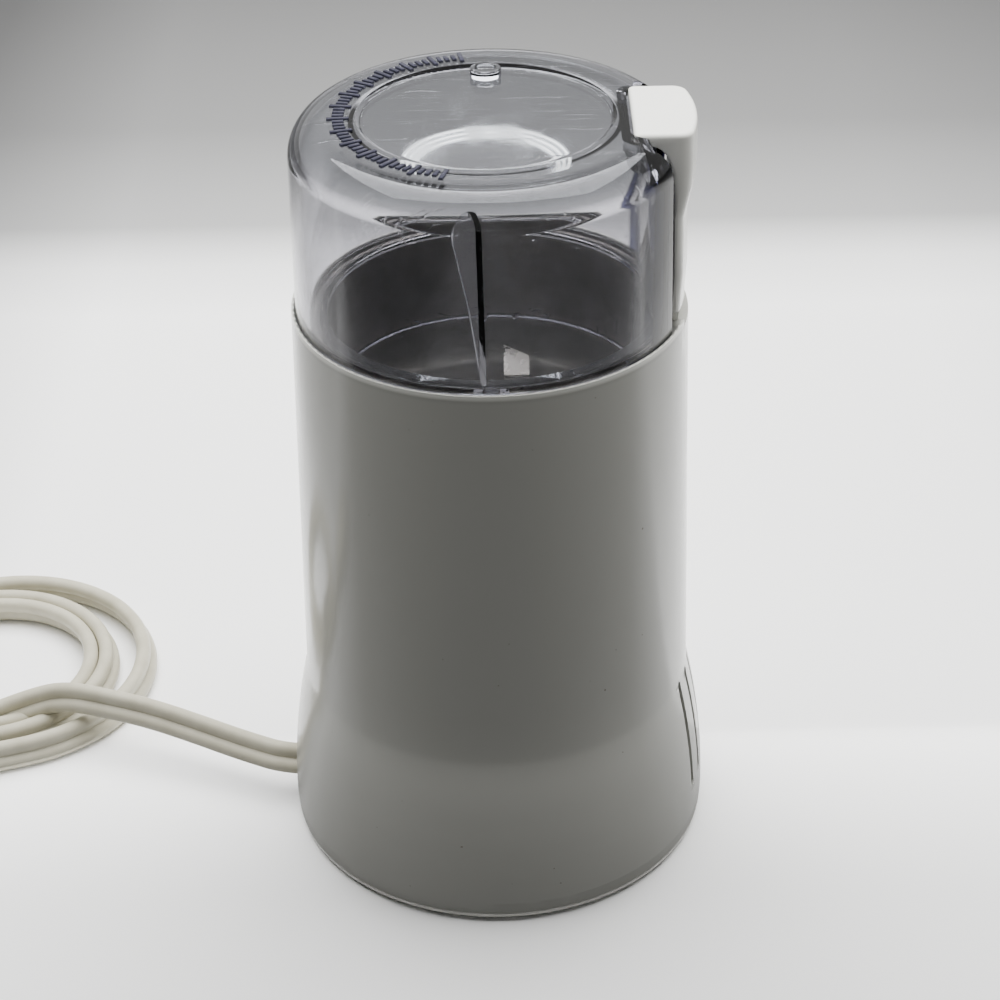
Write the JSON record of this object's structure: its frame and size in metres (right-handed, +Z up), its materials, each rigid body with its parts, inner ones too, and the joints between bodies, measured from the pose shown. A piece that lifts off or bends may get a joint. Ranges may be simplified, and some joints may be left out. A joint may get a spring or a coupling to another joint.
{
  "type": "electric spice grinder",
  "caption": "Upright electric spice and coffee grinder with a clear lid, a push-down switch bar, a steel bowl with a spinning blade, and a flat mains lead.",
  "frame": {"origin": "middle of the base, on the surface the feet stand on", "axes": "+Z up along the motor shaft; -Y towards the front, where the switch bar and the vents are; the mains lead leaves at +Y"},
  "size_m": [0.1396, 0.2476, 0.1784],
  "materials": {
    "housing_plastic": "glossy moulded plastic, warm light grey",
    "cover_plastic": "satin moulded plastic, warm grey",
    "foot_rubber": "soft rubber, matt",
    "screw_steel": "zinc plated steel",
    "bowl_steel": "spun stainless steel with brown grinding stains",
    "blade_steel": "stamped stainless steel, ground edges",
    "seal_rubber": "soft rubber, matt",
    "lid_clear": "clear smoke-tinted violet plastic, polished, lightly scratched",
    "pusher_plastic": "glossy moulded plastic, off-white",
    "switch_plastic": "black moulded plastic",
    "spring_steel": "spring steel",
    "core_iron": "stacked steel laminations, varnished",
    "winding_copper": "enamelled copper wire, varnished",
    "commutator_copper": "turned copper bars",
    "bearing_bronze": "sintered bronze, oiled",
    "shaft_steel": "ground steel",
    "bracket_nylon": "glass-filled nylon, dark grey",
    "fan_nylon": "natural nylon",
    "brush_carbon": "pressed carbon",
    "damper_rubber": "soft rubber, matt",
    "cord_vinyl": "soft vinyl, beige, satin",
    "plug_vinyl": "moulded vinyl, beige, satin",
    "prong_brass": "plated brass"
  },
  "bodies": {
    "base_unit": {"housing": "housing_plastic", "base_cover": "cover_plastic", "rubber_feet": "foot_rubber", "base_screws": "screw_steel", "bowl": "bowl_steel", "shaft_seal": "seal_rubber", "switch_body": "switch_plastic", "switch_spring": "spring_steel", "stator_core": "core_iron", "field_coil_front": "winding_copper", "field_coil_back": "winding_copper", "upper_bearing": "bearing_bronze", "lower_bearing": "bearing_bronze", "upper_bracket": "bracket_nylon", "lower_bracket": "bracket_nylon", "motor_bolts": "screw_steel", "motor_damper": "damper_rubber", "carbon_brush_left": "brush_carbon", "carbon_brush_right": "brush_carbon", "brush_springs": "spring_steel", "brush_caps": "commutator_copper", "cord_clamp": "bracket_nylon", "clamp_screws": "screw_steel", "cord_grommet": "cord_vinyl", "power_cord": "cord_vinyl", "cord_coil": "cord_vinyl", "cord_tail": "cord_vinyl", "plug_body": "plug_vinyl", "plug_prongs": "prong_brass"},
    "lid": {"lid": "lid_clear"},
    "pusher": {"pusher": "pusher_plastic"},
    "plunger": {"plunger": "pusher_plastic"},
    "switch_key": {"switch_key": "pusher_plastic"},
    "rotor": {"motor_shaft": "shaft_steel", "armature_core": "core_iron", "armature_winding_upper": "winding_copper", "armature_winding_lower": "winding_copper", "commutator": "commutator_copper", "cooling_fan": "fan_nylon", "blade": "blade_steel", "blade_nut": "screw_steel"}
  },
  "joints": [
    {"name": "lid_lift", "type": "slide", "parent": "base_unit", "child": "lid", "axis": [0, 0, 1], "range_m": [0, 0.06]},
    {"name": "pusher_press", "type": "slide", "parent": "lid", "child": "pusher", "axis": [0, 0, -1], "range_m": [0, 0.0035], "stiffness_N_per_m": 400, "springref_m": -0.002},
    {"name": "plunger_travel", "type": "slide", "parent": "base_unit", "child": "plunger", "axis": [0, 0, -1], "range_m": [0, 0.0035]},
    {"name": "switch_travel", "type": "slide", "parent": "base_unit", "child": "switch_key", "axis": [0, 0, -1], "range_m": [0, 0.0035], "deforming": ["switch_spring"]},
    {"name": "rotor_spin", "type": "hinge", "parent": "base_unit", "child": "rotor", "pos_m": [0, 0, 0.06], "axis": [0, 0, 1], "continuous": true}
  ],
  "couplings": [
    {"joint": "plunger_travel", "follows": "pusher_press", "ratio": 1},
    {"joint": "switch_travel", "follows": "pusher_press", "ratio": 1}
  ]
}
